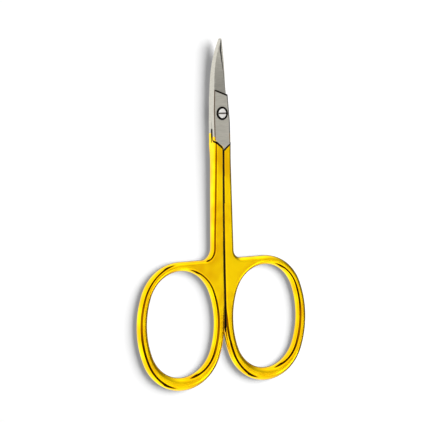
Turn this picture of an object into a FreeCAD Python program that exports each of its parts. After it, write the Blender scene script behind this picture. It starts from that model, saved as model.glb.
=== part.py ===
import FreeCAD, Part
import math
import os
from FreeCAD import Vector

# Cuticle scissors, closed, lying on the back of the handles.
# Millimetres. All is drawn from the pivot axis, at the level of the handles' back, and at the
# end moved so that the origin is the middle of the footprint.
# +Y runs to the tips, +Z to the screw's head, +X to the front half's finger loop.
# The front half carries the screw's seat and has its handle at +X.
# The back half takes the screw's thread and has its handle at -X.

# Joint, where the two halves lie one on the other
joint_width = 4.8             # across the pivot
half_thickness = 1.46         # one half, at the ground flat
lap_gap = 0.08                # between the faces that slide on each other
land_step = 0.22              # the ground flat lies this far under the handle's face
notch_reach = 9.4             # pivot to the point of the V where handle and flat meet
notch_side_reach = 7.5        # pivot to the outer ends of that V
shoulder_gap = 0.1            # closed shoulders stay apart by this much along Y
root_radius = 1.25            # round where the lap's face turns into the shoulder
land_bevel_run = 0.3          # length of the bevel between the ground flat and the handle
edge_bevel = 0.2              # broken edge round the ground flat
side_taper_start = -2.5       # the cutting side leaves the joint's full width here
cutting_side_inset = 0.5      # and has come in by this much at the blade's heel

# Blades
blade_reach = 18.9            # pivot to the front tip
back_tip_lead = 0.3           # the back tip stands out past the front one
blade_rise = 1.45             # how far the tips curve up, out of the joint's plane
flat_reach = 6.5              # the lap's face is flat out to here, then curves up
plunge_spine_reach = 6.25     # pivot to the plunge line, at the spine
plunge_edge_reach = 4.8       # pivot to the plunge line, at the cutting edge
plunge_drop = 0.1             # step from the ground flat down to the blade, at the spine
tip_thickness = 0.6           # one blade, at its tip
face_slope = 9.0              # degrees that the blade's face falls towards the cutting edge
spine_taper_start = 1.0       # the spine leaves the joint's full width here
spine_straight_reach = 8.0    # the spine is straight out to here, then bows in to the tip
spine_straight_inset = 0.38   # and has come in by this much there
spine_bow = 0.34              # height of the bow over its chord
tip_spine_offset = 0.34       # tip to the middle line, on the spine's side
tip_edge_offset = 0.14        # tip to the middle line, on the cutting side
heel_step = 0.18              # the cutting edge starts this far inside the joint's side
edge_bow = 0.2                # height of the cutting edge's bow over its chord
bevel_width = 0.4             # ground bevel behind the cutting edge

# Handles
handle_gap = 0.12             # between the two handles when closed
handle_reach = 70.7           # pivot to the far end of the finger loops
shank_outset = 0.06           # at the notch the shank stands out past the joint's side
shank_width_end = 3.25        # one shank, where it meets its loop
corner_radius = 1.5           # hollow between the shank and the loop
loop_thickness = 2.6          # loops, front to back
shank_edge_radius = 0.45      # rounded front edges of the shank
loop_edge_radius = 1.0        # rounded front edges of the loop
back_bevel = 0.5              # broken edges of the handle's back
bend_radius = 60.0            # side view, where the sloping shank turns into the level loop
rounding_share = 0.46         # a rounded edge takes at most this share of its wall
opening_width = 20.5
opening_length = 27.4
opening_end_share = 0.927     # radius of the opening's ends over its half width
limb_gap_side = 2.65          # loop's limbs: beside the other handle
limb_outer_side = 2.6
limb_near = 2.35              # at the shank
limb_far = 3.35               # at the far end
loop_end_share = 0.932        # radius of the outer outline's ends over its half width

# Pivot screw
seat_diameter = 3.5
seat_depth = 0.85
head_diameter = 2.7
head_height = 0.82
head_bevel = 0.15
slot_width = 0.42
slot_depth = 0.36
shank_diameter = 1.9
thread_diameter = 1.6
shank_clearance = 0.03        # radial, in the front half
thread_clearance = 0.02       # radial, in the back half
end_clearance = 0.03          # under the head and at the shank's shoulder

overrun = 5.0                 # tools and blanks reach this far past what they cut
touching = 0.004              # points nearer than this are taken to meet

# Levels
half_joint = joint_width / 2
handle_thickness = 2 * (half_thickness + land_step) + lap_gap
lap_level = handle_thickness / 2
upper_lap = lap_level + lap_gap / 2
lower_lap = lap_level - lap_gap / 2
front_land = upper_lap + half_thickness
back_land = lower_lap - half_thickness
blank_top = handle_thickness + blade_rise + overrun

# Notch: the plates' shoulders lie above the V by half the gap, the handles' walls under it
notch_middle = shoulder_gap / 2 - notch_reach
notch_side = shoulder_gap / 2 - notch_side_reach
handle_start = root_radius - notch_side_reach

# Curve of the blades' lap face
curve_reach = blade_reach - flat_reach
curve_radius = (curve_reach ** 2 + blade_rise ** 2) / (2 * blade_rise)

# Handle
gap_side = handle_gap / 2
shank_side = half_joint + shank_outset
thinnest_limb = min(limb_gap_side, limb_outer_side, limb_near, limb_far, loop_thickness)
loop_rounding = min(loop_edge_radius, rounding_share * thinnest_limb)
shank_rounding = min(shank_edge_radius, rounding_share * (shank_side - gap_side))
outer_half_width = (opening_width + limb_gap_side + limb_outer_side) / 2
outer_half_length = (opening_length + limb_near + limb_far) / 2
outer_centre = Vector(gap_side + outer_half_width, outer_half_length - handle_reach, 0)
opening_centre = Vector(gap_side + limb_gap_side + opening_width / 2,
                        limb_far + opening_length / 2 - handle_reach, 0)
loop_top = outer_centre.y + outer_half_length

# Footprint of the whole, from the pivot
front_end = blade_reach + max(0, back_tip_lead)
footprint_middle = Vector(0, (front_end - handle_reach) / 2, 0)


def line(start, end):
    return Part.LineSegment(start, end).toShape()


def arc(centre, start, end):
    """Arc under a half circle, from start to end about centre."""
    middle = (start - centre) + (end - centre)
    middle.normalize()
    return Part.Arc(start, centre + middle * (start - centre).Length, end).toShape()


def bow(start, end, height):
    """Arc from start to end that stands out by height to the left of its chord."""
    across = Vector(start.y - end.y, end.x - start.x, 0)
    across.normalize()
    return Part.Arc(start, (start + end) / 2 + across * height, end).toShape()


def prism(edges, direction):
    """Solid swept by a closed run of edges along a direction."""
    return Part.Face(Part.Wire(edges)).extrude(direction)


def polygon(points):
    return [line(a, b) for a, b in zip(points, points[1:] + points[:1])]


def turned(shape):
    """The same shape on the other half: a half turn about the joint's long axis."""
    copy = shape.copy()
    copy.rotate(Vector(0, 0, lap_level), Vector(0, 1, 0), 180)
    return copy


def stretched(start, end):
    """The run from start to end, made longer at both ends by the overrun."""
    extra = end - start
    extra.normalize()
    extra = extra * overrun
    return start - extra, end + extra


def oval(centre, half_width, half_length, end_share):
    """Joints and centres of a four-arc oval: two end arcs and two flatter side arcs."""
    end_radius = end_share * half_width
    side_radius = (half_width ** 2 + half_length ** 2 - 2 * half_length * end_radius) / (
        2 * (half_width - end_radius))
    side = Vector(side_radius - half_width, 0, 0)
    end = Vector(0, half_length - end_radius, 0)
    lean = side + end
    lean.normalize()
    across = Vector(lean.x * end_radius, 0, 0)
    along = Vector(0, end.y + lean.y * end_radius, 0)
    joints = {
        "far_left": centre - across - along,
        "far_right": centre + across - along,
        "near_right": centre + across + along,
        "near_left": centre - across + along,
    }
    centres = {"left": centre + side, "right": centre - side, "far": centre - end, "near": centre + end}
    return joints, centres


def hollow():
    """Arc in the hollow between loop and shank: its end on the loop, its centre, its end on the shank."""
    corner = Vector(gap_side + shank_width_end, loop_top, 0)
    shank_way = Vector(shank_side, handle_start, 0) - corner
    shank_way.normalize()
    loop_way = Vector(1, 0, 0)
    half_turn = loop_way.getAngle(shank_way) / 2
    setback = corner_radius / math.tan(half_turn)
    middle_way = loop_way + shank_way
    middle_way.normalize()
    centre = corner + middle_way * (corner_radius / math.sin(half_turn))
    return corner + loop_way * setback, centre, corner + shank_way * setback


def handle_outline():
    """Outer plan outline of the front half's handle, from the gap round the loop to the shank."""
    joints, centres = oval(outer_centre, outer_half_width, outer_half_length, loop_end_share)
    on_loop, hollow_centre, on_shank = hollow()
    gap_top = Vector(gap_side, handle_start, 0)
    gap_bend = Vector(gap_side, on_shank.y, 0)
    gap_end = Vector(gap_side, outer_centre.y, 0)
    near_end = Vector(outer_centre.x, loop_top, 0)
    shank_top = Vector(shank_side, handle_start, 0)
    return [
        line(gap_top, gap_bend),
        line(gap_bend, gap_end),
        arc(centres["left"], gap_end, joints["far_left"]),
        arc(centres["far"], joints["far_left"], joints["far_right"]),
        arc(centres["right"], joints["far_right"], joints["near_right"]),
        arc(centres["near"], joints["near_right"], near_end),
        line(near_end, on_loop),
        arc(hollow_centre, on_loop, on_shank),
        line(on_shank, shank_top),
        line(shank_top, gap_top),
    ]


def opening_outline():
    joints, centres = oval(opening_centre, opening_width / 2, opening_length / 2, opening_end_share)
    return [
        arc(centres["far"], joints["far_left"], joints["far_right"]),
        arc(centres["right"], joints["far_right"], joints["near_right"]),
        arc(centres["near"], joints["near_right"], joints["near_left"]),
        arc(centres["left"], joints["near_left"], joints["far_left"]),
    ]


def bend_ends():
    """Side view of the bend from the level loop to the sloping shank: where it starts and ends along Y."""
    start = hollow()[2].y
    run = handle_start - start
    height = handle_thickness - loop_thickness
    to_centre = math.hypot(run, bend_radius - height)
    slope = math.atan2(run, bend_radius - height) - math.acos(bend_radius / to_centre)
    return start, start + bend_radius * math.sin(slope)


def handle_side():
    """Side view of a handle: flat back, level loop, and a front that slopes up from it to the joint."""
    start, end = bend_ends()
    far = -handle_reach - overrun
    centre = Vector(0, start, loop_thickness + bend_radius)
    notch_end = Vector(0, handle_start, handle_thickness)
    bend_start = Vector(0, start, loop_thickness)
    bend_end = Vector(0, end, centre.z - math.sqrt(bend_radius ** 2 - (end - start) ** 2))
    far_end = Vector(0, far, loop_thickness)
    outline = [
        line(Vector(0, handle_start, 0), notch_end),
        line(notch_end, bend_end),
        arc(centre, bend_end, bend_start),
        line(bend_start, far_end),
        line(far_end, Vector(0, far, 0)),
        line(Vector(0, far, 0), Vector(0, handle_start, 0)),
    ]
    return prism(outline, Vector(2 * outer_half_width + overrun, 0, 0))


def edge_radius(y):
    """Rounded front edge of the handle at y: the shank's, and from the loop's top on the loop's."""
    return loop_rounding if y < loop_top + touching else shank_rounding


def long_edges(solid):
    """A handle blank's edges that follow its outlines: those of its front, then those of its back."""
    crossings = (handle_start, *bend_ends())
    front = []
    back = []
    for edge in solid.Edges:
        ends = [vertex.Point for vertex in edge.Vertexes]
        upright = abs(ends[0].z - ends[-1].z) > loop_thickness / 2
        across_shank = any(all(math.isclose(end.y, y) for end in ends) for y in crossings)
        if not upright and not across_shank:
            at_back = max(end.z for end in ends) < loop_thickness / 2
            (back if at_back else front).append(edge)
    return front, back


def rounded(solid):
    """Breaks the back edges of a handle blank, then rounds the front ones.

    The outline runs down the gap, round the loop and back up the shank, so where the radius
    changes it grows along the gap's edge and shrinks along the shank's.
    """
    solid = solid.makeChamfer(back_bevel, long_edges(solid)[1])
    document = FreeCAD.newDocument("handle")
    blank = document.addObject("Part::Feature", "blank")
    blank.Shape = solid
    rounds = document.addObject("Part::Fillet", "rounds")
    rounds.Base = blank
    chosen = []
    for number, edge in enumerate(blank.Shape.Edges, 1):
        if not any(edge.isSame(front) for front in long_edges(blank.Shape)[0]):
            continue
        ends = [vertex.Point for vertex in edge.Vertexes]
        radii = sorted(edge_radius(end.y) for end in ends)
        beside_gap = all(math.isclose(end.x, gap_side) for end in ends)
        if not beside_gap:
            radii.reverse()
        chosen.append((number, *radii))
    rounds.Edges = chosen
    document.recompute()
    shape = rounds.Shape.copy()
    FreeCAD.closeDocument(document.Name)
    return shape


def handle():
    """Front half's handle, shank and finger loop, still whole at the joint's end."""
    height = Vector(0, 0, handle_thickness + overrun)
    blank = prism(handle_outline(), height).cut(prism(opening_outline(), height))
    return rounded(blank.common(handle_side()))


def shoulder_corner(start, end, inward, upward):
    """Corner between a lap face and a shoulder, outside a round of the root radius.

    The corner's edge runs along the shoulder from start to end. inward and upward are the unit
    directions, square to that edge, in which the round lies.
    """
    on_face = start + inward * root_radius
    on_wall = start + upward * root_radius
    centre = on_face + upward * root_radius
    section = [line(start, on_face), arc(centre, on_face, on_wall), line(on_wall, start)]
    return prism(section, end - start)


def plate_outline():
    """Plan of the front half's joint plate, from the notch to the plunge line."""
    return polygon([
        Vector(gap_side, notch_middle, 0),
        Vector(gap_side + shank_rounding, notch_middle - root_radius, 0),
        Vector(half_joint - shank_rounding, notch_side - root_radius, 0),
        Vector(half_joint, notch_side - shoulder_gap, 0),
        Vector(half_joint, side_taper_start, 0),
        Vector(half_joint - cutting_side_inset, plunge_edge_reach, 0),
        Vector(spine_x(plunge_spine_reach), plunge_spine_reach, 0),
        Vector(-half_joint, spine_taper_start, 0),
        Vector(-half_joint, notch_side, 0),
    ])


def joint_plate():
    """Upper layer of the lap: broken edges on its front, a rounded edge under its shoulder."""
    outline = plate_outline()
    plate = prism(outline, Vector(0, 0, half_thickness))
    inner_ends = (gap_side + shank_rounding, half_joint - shank_rounding)
    open_edges = []
    for edge in plate.Edges:
        ends = [vertex.Point for vertex in edge.Vertexes]
        on_front = all(math.isclose(end.z, half_thickness) for end in ends)
        in_handle = any(math.isclose(end.x, x) for end in ends for x in inner_ends)
        if on_front and not in_handle:
            open_edges.append(edge)
    plate = plate.makeChamfer(edge_bevel, open_edges)
    plate.translate(Vector(0, 0, upper_lap))
    notch_point = Vector(gap_side, notch_middle, upper_lap)
    start, end = stretched(notch_point, Vector(-half_joint, notch_side, upper_lap))
    inward = Vector(end.y - start.y, start.x - end.x, 0)
    inward.normalize()
    corner = shoulder_corner(start, end, inward, Vector(0, 0, 1))
    return plate.cut(corner.common(across_gap(-1)))


def across_gap(side):
    """Everything on one side of the front handle's gap face."""
    reach = handle_reach + overrun
    block = Part.makeBox(reach, 2 * reach, 2 * reach, Vector(gap_side, -reach, -reach))
    if side < 0:
        block.translate(Vector(-reach, 0, 0))
    return block


def spine_x(y):
    """Spine's place on its straight run."""
    share = (y - spine_taper_start) / (spine_straight_reach - spine_taper_start)
    return -half_joint + share * spine_straight_inset


def notch():
    """What shapes the front handle at the joint: the space over its shoulder, the bevel up to
    its face from the ground flat, and the round that fills the shoulder's root."""
    notch_point = Vector(0, notch_middle - shoulder_gap, 0)
    left, right = stretched(notch_point, Vector(half_joint, notch_side - shoulder_gap, 0))
    above = polygon([left, right, Vector(right.x, overrun, 0), Vector(left.x, overrun, 0)])
    space = prism(above, Vector(0, 0, handle_thickness))
    slant = Vector(0, -land_bevel_run, land_step)
    slant.normalize()
    bevel = prism(above, slant * overrun)
    bevel.translate(Vector(0, 0, front_land))
    inward = Vector(left.y - right.y, right.x - left.x, 0)
    inward.normalize()
    lift = Vector(0, 0, upper_lap)
    root = shoulder_corner(left + lift, right + lift, inward, Vector(0, 0, -1))
    under_plate = prism(plate_outline(), lift).common(across_gap(1))
    return space, bevel, root.common(under_plate)


def rise(reach):
    """Height that the lap's face has curved up, at a distance from the pivot axis."""
    return curve_radius - math.sqrt(curve_radius ** 2 - max(0, reach - flat_reach) ** 2)


def lap_side(level, limit):
    """All on one side of the blades' curved lap face, which turns about the pivot axis."""
    far = blade_reach + overrun
    bend = Vector(flat_reach, 0, level)
    far_end = Vector(far, 0, level + rise(far))
    outline = [
        line(Vector(0, 0, level), bend),
        arc(bend + Vector(0, 0, curve_radius), bend, far_end),
        line(far_end, Vector(far, 0, limit)),
        line(Vector(far, 0, limit), Vector(0, 0, limit)),
        line(Vector(0, 0, limit), Vector(0, 0, level)),
    ]
    return Part.Face(Part.Wire(outline)).revolve(Vector(0, 0, 0), Vector(0, 0, 1), 360)


def blade(side, reach):
    """One blade: side 1 lies over the lap face with its spine at -X, side -1 under it, mirrored."""
    lap = lap_level + side * lap_gap / 2
    root = plunge_spine_reach - edge_bevel
    spine_start = Vector(side * spine_x(root), root, 0)
    spine_bend = Vector(side * spine_x(spine_straight_reach), spine_straight_reach, 0)
    spine_tip = Vector(-side * tip_spine_offset, reach, 0)
    edge_tip = Vector(side * tip_edge_offset, reach, 0)
    heel = Vector(side * (half_joint - cutting_side_inset - heel_step), plunge_edge_reach - edge_bevel, 0)
    spine = bow(spine_bend, spine_tip, side * spine_bow)
    edge = bow(edge_tip, heel, side * edge_bow)
    outline = [
        line(spine_start, spine_bend),
        spine,
        line(spine_tip, edge_tip),
        edge,
        line(heel, spine_start),
    ]
    outward_limit, inward_limit = (blank_top, 0) if side > 0 else (0, blank_top)
    blank = prism(outline, Vector(0, 0, blank_top)).common(lap_side(lap, outward_limit))

    # Outer face: a hollow curve along the blade, drawn across it at a slope from spine to edge.
    slope = math.tan(math.radians(face_slope))
    middle = spine.valueAt((spine.FirstParameter + spine.LastParameter) / 2)
    root_thickness = half_thickness - plunge_drop
    middle_thickness = (root_thickness + tip_thickness) / 2
    stations = ((spine_start, root_thickness), (middle, middle_thickness), (spine_tip, tip_thickness))
    levels = []
    for place, thickness in stations:
        fall = slope * abs(place.x)
        levels.append(Vector(0, place.y, lap + rise(place.y) + side * (thickness - fall)))
    centre = Part.Circle(*levels).Center
    radius = (levels[0] - centre).Length
    near = Vector(0, 0, centre.z - math.sqrt(radius ** 2 - centre.y ** 2))
    far_y = reach + overrun
    far = Vector(0, far_y, centre.z - math.sqrt(radius ** 2 - (far_y - centre.y) ** 2))
    profile = [
        arc(centre, near, far),
        line(far, Vector(0, far_y, inward_limit)),
        line(Vector(0, far_y, inward_limit), Vector(0, 0, inward_limit)),
        line(Vector(0, 0, inward_limit), near),
    ]
    across = Vector(joint_width, 0, -slope * joint_width)
    inside = prism(profile, across)
    inside.translate(across / -2)
    solid = blank.common(inside)

    # Ground bevel behind the cutting edge.
    bevelled = []
    for candidate in solid.Edges:
        point = candidate.valueAt((candidate.FirstParameter + candidate.LastParameter) / 2)
        over_edge = edge.distToShape(Part.Vertex(point.x, point.y, 0))[0]
        height = side * (point.z - lap - rise(math.hypot(point.x, point.y)))
        if over_edge < touching and height > bevel_width / 2:
            bevelled.append(candidate)
    return solid.makeChamfer(bevel_width, bevelled)


def pivot_screw():
    """Slotted screw: its head in the front half's seat, its thread in the back half."""
    seat = front_land - seat_depth
    head_base = seat + end_clearance
    head_top = head_base + head_height
    shoulder = lower_lap + end_clearance
    head = head_diameter / 2
    shank = shank_diameter / 2
    thread = thread_diameter / 2
    outline = polygon([
        Vector(0, 0, back_land),
        Vector(thread, 0, back_land),
        Vector(thread, 0, shoulder),
        Vector(shank, 0, shoulder),
        Vector(shank, 0, head_base),
        Vector(head, 0, head_base),
        Vector(head, 0, head_top),
        Vector(0, 0, head_top),
    ])
    screw = Part.Face(Part.Wire(outline)).revolve(Vector(0, 0, 0), Vector(0, 0, 1), 360)
    rims = []
    for edge in screw.Edges:
        box = edge.BoundBox
        if math.isclose(box.ZMin, head_top) and math.isclose(box.ZMax, head_top) and box.YLength > head:
            rims.append(edge)
    screw = screw.makeChamfer(head_bevel, rims)
    slot = Part.makeBox(joint_width, slot_width, joint_width)
    slot.translate(Vector(-half_joint, -slot_width / 2, head_top - slot_depth))
    return screw.cut(slot)


def bore(diameter, start, end):
    return Part.makeCylinder(diameter / 2, end - start, Vector(0, 0, start))


def one_solid(forms):
    """Joins the forged forms of one half into a single clean solid."""
    whole = forms[0].fuse(forms[1:]).removeSplitter()
    return whole.Solids[0]


plate = joint_plate()
space, bevel, root = notch()
right_handle = handle()
left_handle = right_handle.mirror(Vector(0, 0, 0), Vector(1, 0, 0))

front_grip = right_handle.cut(space).cut(bevel)
front_half = one_solid([plate, front_grip, root, blade(1, blade_reach)])
front_half = front_half.cut(bore(seat_diameter, front_land - seat_depth, front_land + overrun))
front_half = front_half.cut(bore(shank_diameter + 2 * shank_clearance, -overrun, front_land + overrun))

back_grip = left_handle.cut(turned(space)).cut(turned(bevel))
back_half = one_solid([turned(plate), back_grip, turned(root), blade(-1, blade_reach + back_tip_lead)])
back_half = back_half.cut(bore(thread_diameter + 2 * thread_clearance, -overrun, front_land + overrun))

os.makedirs("parts", exist_ok=True)
nodes = {"front_half": front_half, "back_half": back_half, "pivot_screw": pivot_screw()}
for name, shape in nodes.items():
    shape.translate(footprint_middle * -1)
    shape.exportStep("parts/" + name + ".step")
    box = shape.BoundBox
    print(name, "solids", len(shape.Solids), "valid", shape.isValid(), "volume", round(shape.Volume, 2),
          "size", [round(size, 2) for size in (box.XLength, box.YLength, box.ZLength)])
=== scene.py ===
# %% [markdown]
# # Cuticle scissors
# A pair of small scissors is three pieces of metal: two forged halves and the screw they turn on.
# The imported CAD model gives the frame. The halves are drawn again here as fine surfaces, because
# polished gold shows every facet, and each new piece rides on the body of the half it belongs to.

# %% Load the frame
import bpy
import numpy as np
from mathutils import Matrix
from mathutils.geometry import tessellate_polygon


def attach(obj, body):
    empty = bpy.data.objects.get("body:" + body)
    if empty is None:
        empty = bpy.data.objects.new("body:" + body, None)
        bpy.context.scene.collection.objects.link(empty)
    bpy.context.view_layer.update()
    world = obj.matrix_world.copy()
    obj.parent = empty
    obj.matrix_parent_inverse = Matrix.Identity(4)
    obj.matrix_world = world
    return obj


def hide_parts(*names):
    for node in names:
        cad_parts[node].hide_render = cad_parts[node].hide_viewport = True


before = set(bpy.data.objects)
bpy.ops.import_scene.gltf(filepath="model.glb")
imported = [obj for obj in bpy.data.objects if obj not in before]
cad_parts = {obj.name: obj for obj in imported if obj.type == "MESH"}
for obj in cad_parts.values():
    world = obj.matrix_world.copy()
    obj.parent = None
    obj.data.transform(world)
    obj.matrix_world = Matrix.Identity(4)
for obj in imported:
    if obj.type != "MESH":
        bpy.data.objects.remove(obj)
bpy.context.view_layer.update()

# %% [markdown]
# ## Sizes of the joint
# All lengths are in millimetres from the pivot axis, and become the frame's metres only when a mesh is
# made. The joint is a half lap: both halves are ground to half the thickness, and the ground flat ends
# at a notch that crosses the handle in a V. Most sizes repeat the CAD model's. Where polishing opened a
# gap or rounded a corner, the size is the polished one.

# %% Sizes of the joint
metre = 1000.0
pivot = np.array([0.0, 25.75, 0.0])
joint = dict(half_width=2.4, half_thickness=1.46, gap=0.08, bevel=0.2, root=1.25, shoulder_gap=0.1)
# The bevel from the handle down to the flat has a run and a step; clear is the room at the shoulder.
notch = dict(middle=-9.35, side=-7.45, run=0.5, step=0.22, clear=0.42)

thickness = 2 * (joint["half_thickness"] + notch["step"]) + joint["gap"]
lap_level = thickness / 2
upper_lap = lap_level + joint["gap"] / 2
land = upper_lap + joint["half_thickness"]
v_slope = (notch["side"] - notch["middle"]) / joint["half_width"]
v_start = notch["middle"] - joint["shoulder_gap"]
print("thickness of the handles at the joint", round(thickness, 2), "mm, ground flat at", round(land, 2))

# %% [markdown]
# ## From arrays to meshes
# Every piece is a set of sheets. A sheet is a grid of points worked out as one array, and a cap is a fan
# that closes an outline. A modifier could mirror or fill too, but arrays keep every point where the
# drawing puts it, and a surface made once serves on both halves.

# %% Sheets and caps
def sheet(points, closed=False, flip=False, finish=0):
    """A grid of points, rows by columns, as quads; closed joins the last row to the first."""
    rows, columns = points.shape[:2]
    index = np.arange(rows * columns).reshape(rows, columns)
    if closed:
        index = np.vstack([index, index[:1]])
    corners = [index[:-1, :-1], index[1:, :-1], index[1:, 1:], index[:-1, 1:]]
    quads = np.stack(corners, axis=-1).reshape(-1, 4)
    return points.reshape(-1, 3), quads[:, ::-1] if flip else quads, np.full(len(quads), finish)


def cap(points, flip=False, finish=0):
    """A closed outline filled with a fan of triangles about its middle."""
    count = len(points)
    ring = np.arange(count)
    fans = np.stack([ring, np.roll(ring, -1), np.full(count, count)], axis=-1)
    return np.vstack([points, points.mean(axis=0)]), fans[:, ::-1] if flip else fans, np.full(count, finish)


def between(first, last, count):
    """Straight rows of points from one line of points to another."""
    share = np.linspace(0, 1, count)[None, :, None]
    return first[:, None, :] + share * (last - first)[:, None, :]


def turned(surface):
    """The same surface on the back half: a half turn about the joint's long axis."""
    points, faces, finish = surface
    return points * [-1, 1, -1] + [0, 0, thickness], faces, finish


def mirrored(surface):
    """The same surface on the other side of the gap, its faces turned round again."""
    points, faces, finish = surface
    return points * [-1, 1, 1], faces[:, ::-1], finish


# %% [markdown]
# ## From sheets to a piece
# Points that fall together are welded, so that light runs smoothly from one sheet to the next. An edge
# is kept sharp only at a real corner, and a modifier weights the normals by the faces' areas, so that
# broad flats stay flat beside narrow rounds.

# %% From sheets to a piece
weld_steps = 1e4  # points that agree to a ten-thousandth of a millimetre are one


def make_piece(name, surfaces, finishes, body, node, crease=28.0):
    """Welds the surfaces into one mesh, in metres in the frame, and lets it ride on its body."""
    all_points, all_faces, all_finishes = zip(*surfaces)
    starts = np.cumsum([0] + [len(points) for points in all_points])
    points = np.concatenate(all_points)
    keys = np.round(points * weld_steps).astype(np.int64)
    first, merged = np.unique(keys, axis=0, return_index=True, return_inverse=True)[1:]
    merged = merged.ravel()
    faces = []
    for start, corners in zip(starts, all_faces):
        faces += merged[corners + start].tolist()
    mesh = bpy.data.meshes.new(name)
    mesh.from_pydata(((points[first] + pivot) / metre).tolist(), [], faces)
    for material in finishes:
        mesh.materials.append(material)
    mesh.polygons.foreach_set("material_index", np.concatenate(all_finishes).astype(np.int32))
    mesh.validate()
    mesh.shade_smooth()
    mesh.set_sharp_from_angle(angle=np.radians(crease))
    piece = bpy.data.objects.new(name, mesh)
    bpy.context.scene.collection.objects.link(piece)
    weights = piece.modifiers.new("even_light", "WEIGHTED_NORMAL")
    weights.keep_sharp = True
    # The floor doesn't gather light from the metal: the gold's glow would turn its shadow yellow.
    piece.visible_diffuse = False
    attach(piece, body)
    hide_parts(node)
    print(name, len(mesh.vertices), "points", len(mesh.polygons), "faces on", body)


# %% [markdown]
# ## Colour and nodes
# A finish is a small tree of nodes. One function adds a node, and the others are short names for nodes
# that come up often. Colours are written as the eye reads them and turned to linear light, and the
# scale of a pattern comes from its real size.

# %% Colour and nodes
def linear(code):
    """Hex sRGB colour as linear red, green, blue and a full alpha."""
    value = np.array([int(code[at:at + 2], 16) for at in (1, 3, 5)]) / 255
    light = np.where(value <= 0.04045, value / 12.92, ((value + 0.055) / 1.055) ** 2.4)
    return (*light.tolist(), 1.0)


def add(tree, kind, inputs=None):
    """Adds one node. An input is another node's output, a constant for a socket or a setting of the node."""
    node = tree.nodes.new(kind)
    for key, value in (inputs or {}).items():
        if isinstance(value, bpy.types.NodeSocket):
            tree.links.new(value, node.inputs[key])
        elif isinstance(key, int) or key in node.inputs:
            node.inputs[key].default_value = value
        else:
            setattr(node, key, value)
    return node


def new_material(name):
    """A new material, its node tree, and the output that gives the piece's own coordinates."""
    material = bpy.data.materials.new(name)
    material.use_nodes = True
    tree = material.node_tree
    tree.nodes.clear()
    return material, tree, add(tree, "ShaderNodeTexCoord").outputs["Object"]


# %% Nodes that come up often
def noise(tree, place, size, detail):
    """Cloudy pattern from 0 to 1 on the piece; size is about one cloud, in millimetres."""
    inputs = {"Vector": place, "Scale": metre / size, "Detail": detail}
    return add(tree, "ShaderNodeTexNoise", inputs).outputs["Fac"]


def ramp(tree, value, start=0.0, end=1.0, low=0.0, high=1.0, kind="LINEAR"):
    """Carries a value from the range start to end over to the range low to high, and holds it there."""
    inputs = {"interpolation_type": kind, "Value": value,
              "From Min": start, "From Max": end, "To Min": low, "To Max": high}
    return add(tree, "ShaderNodeMapRange", inputs).outputs["Result"]


def maths(tree, operation, *values):
    """One calculation on up to three values, each a float or another node's output."""
    return add(tree, "ShaderNodeMath", {"operation": operation, **dict(enumerate(values))}).outputs[0]


def blend(tree, factor, first, last):
    """Value between two values, by a factor from 0 to 1."""
    return add(tree, "ShaderNodeMix", {"Factor": factor, "A": first, "B": last}).outputs["Result"]


def mixed(tree, factor, first, last):
    """Colour between two hex colours, by a factor from 0 to 1."""
    inputs = {"data_type": "RGBA", "Factor": factor, "A": linear(first), "B": linear(last)}
    return add(tree, "ShaderNodeMix", inputs).outputs["Result"]


def shade(material, inputs):
    """Ends a material with one Principled shader and the output."""
    shader = add(material.node_tree, "ShaderNodeBsdfPrincipled", inputs)
    add(material.node_tree, "ShaderNodeOutputMaterial", {"Surface": shader.outputs["BSDF"]})
    print("finish", material.name)


# %% [markdown]
# ## Polished gold plating
# Polished gold has hardly a look of its own: it shows the room, tinted. A flat yellow would look like
# plastic, so the plating is a metal shader, and small faults give it life: waves from polishing, wiping
# marks, satin flats and duller patches.

# %% Polished gold plating
gold, tree, place = new_material("polished_gold_plate")
# Polishing leaves a plated forging a little uneven, in waves a few millimetres long.
waves = noise(tree, place, size=5.0, detail=1.0)
wavy = add(tree, "ShaderNodeBump", {"Strength": 0.3, "Distance": 0.2 / metre, "Height": waves})
# Fine wiping marks change the gloss from place to place, about a millimetre apart.
marks = noise(tree, place, size=1.2, detail=4.0)
gloss = ramp(tree, marks, low=0.08, high=0.17)
# The flats were brushed before plating and stay satin; only the rounds were buffed to a mirror.
facing = add(tree, "ShaderNodeSeparateXYZ", {0: place.node.outputs["Normal"]})
level = maths(tree, "ABSOLUTE", facing.outputs["Z"])
flat = ramp(tree, level, start=0.975, end=0.997)
satin = blend(tree, flat, gloss, 0.42)
# Handling dulls the plating in patches: the same waves make it a little browner here and there.
patch = ramp(tree, waves, start=0.36, end=0.62)
tint = mixed(tree, patch, "#F0BA06", "#FFD608")
shade(gold, {"Metallic": 1.0, "Base Color": tint, "Roughness": satin, "Normal": wavy.outputs["Normal"]})

# %% [markdown]
# ## Ground steel
# The joint and the blades were ground bare on a wheel, which leaves fine lines across them. The lines
# could be a bump alone, but at this size they show as streaks of lighter and darker grey. So one
# stretched noise drives the tint, the gloss and a faint bump together.

# %% Ground steel
steel, tree, place = new_material("satin_ground_steel")
# Real wheel lines are finer than a pixel, so they are drawn 0.25 mm apart and 2 mm long to show.
stretch = {"Vector": place, "Scale": (metre / 2.0, metre / 0.25, metre / 2.0)}
across = add(tree, "ShaderNodeMapping", stretch).outputs["Vector"]
streaks = add(tree, "ShaderNodeTexNoise", {"Vector": across, "Scale": 1.0, "Detail": 3.0})
lines = streaks.outputs["Fac"]
tint = mixed(tree, lines, "#A5A298", "#CCC9BE")
ground = add(tree, "ShaderNodeBump", {"Strength": 0.05, "Distance": 0.1 / metre, "Height": lines})
gloss = ramp(tree, lines, low=0.33, high=0.45)
shade(steel, {"Metallic": 1.0, "Base Color": tint, "Roughness": gloss, "Normal": ground.outputs["Normal"]})
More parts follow.
